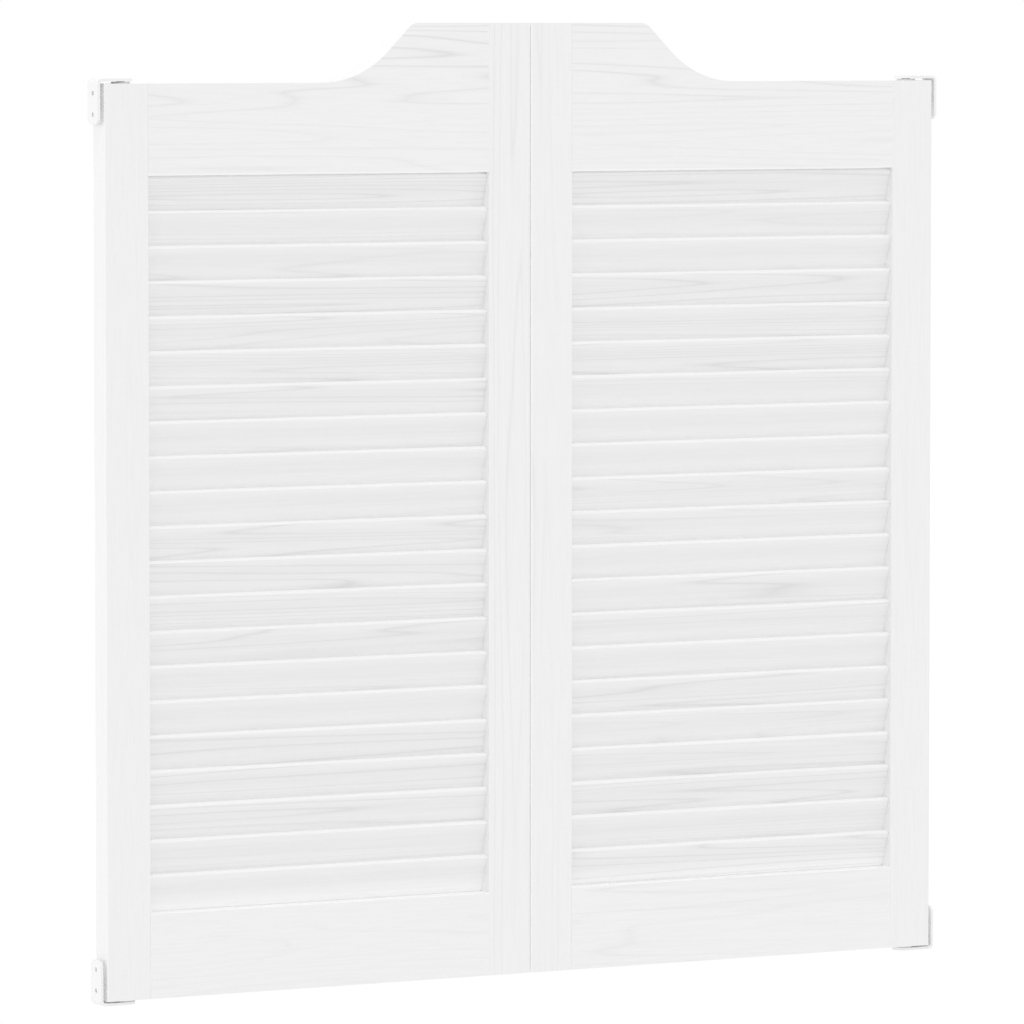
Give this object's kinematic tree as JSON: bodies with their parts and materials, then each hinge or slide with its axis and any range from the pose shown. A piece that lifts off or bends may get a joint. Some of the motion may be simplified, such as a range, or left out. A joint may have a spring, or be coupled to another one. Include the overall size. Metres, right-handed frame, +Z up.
{
  "type": "cafe swinging doors",
  "caption": "Louvred saloon doors with a crested meeting edge, swinging both ways on sprung pivots held in small jamb brackets.",
  "frame": {"origin": "middle of the door opening, mid-thickness of the closed leaves, level with the underside of the lower brackets", "axes": "+X across the opening to the right, -Y the front face, +Z up"},
  "size_m": [0.914, 0.0254, 0.918],
  "materials": {
    "frame_paint": "satin white paint over pine, grain just showing",
    "slat_paint": "satin white paint over pine, grain just showing",
    "bracket_paint": "white powder coat",
    "zinc_plate": "zinc plate",
    "nylon": "natural nylon"
  },
  "bodies": {
    "jamb_brackets": {"left_lower_bracket": "bracket_paint", "left_upper_bracket": "bracket_paint", "right_lower_bracket": "bracket_paint", "right_upper_bracket": "bracket_paint", "lower_pivot_pins": "zinc_plate", "upper_pivot_pins": "zinc_plate"},
    "left_leaf": {"left_hanging_stile": "frame_paint", "left_meeting_stile": "frame_paint", "left_top_rail": "frame_paint", "left_bottom_rail": "frame_paint", "left_spring_cartridge": "zinc_plate", "left_upper_bush": "nylon", "left_slat_01": "slat_paint", "left_slat_02": "slat_paint", "left_slat_03": "slat_paint", "left_slat_04": "slat_paint", "left_slat_05": "slat_paint", "left_slat_06": "slat_paint", "left_slat_07": "slat_paint", "left_slat_08": "slat_paint", "left_slat_09": "slat_paint", "left_slat_10": "slat_paint", "left_slat_11": "slat_paint", "left_slat_12": "slat_paint", "left_slat_13": "slat_paint", "left_slat_14": "slat_paint", "left_slat_15": "slat_paint", "left_slat_16": "slat_paint", "left_slat_17": "slat_paint", "left_slat_18": "slat_paint", "left_slat_19": "slat_paint", "left_slat_20": "slat_paint", "left_slat_21": "slat_paint"},
    "right_leaf": {"right_hanging_stile": "frame_paint", "right_meeting_stile": "frame_paint", "right_top_rail": "frame_paint", "right_bottom_rail": "frame_paint", "right_spring_cartridge": "zinc_plate", "right_upper_bush": "nylon", "right_slat_01": "slat_paint", "right_slat_02": "slat_paint", "right_slat_03": "slat_paint", "right_slat_04": "slat_paint", "right_slat_05": "slat_paint", "right_slat_06": "slat_paint", "right_slat_07": "slat_paint", "right_slat_08": "slat_paint", "right_slat_09": "slat_paint", "right_slat_10": "slat_paint", "right_slat_11": "slat_paint", "right_slat_12": "slat_paint", "right_slat_13": "slat_paint", "right_slat_14": "slat_paint", "right_slat_15": "slat_paint", "right_slat_16": "slat_paint", "right_slat_17": "slat_paint", "right_slat_18": "slat_paint", "right_slat_19": "slat_paint", "right_slat_20": "slat_paint", "right_slat_21": "slat_paint"}
  },
  "joints": [
    {"name": "left_swing", "type": "hinge", "parent": "jamb_brackets", "child": "left_leaf", "pos_m": [-0.4285, 0, 0.4335], "axis": [0, 0, 1], "range_deg": [-90, 90], "stiffness_Nm_per_rad": 0.8},
    {"name": "right_swing", "type": "hinge", "parent": "jamb_brackets", "child": "right_leaf", "pos_m": [0.4285, 0, 0.4335], "axis": [0, 0, -1], "range_deg": [-90, 90], "stiffness_Nm_per_rad": 0.8}
  ]
}
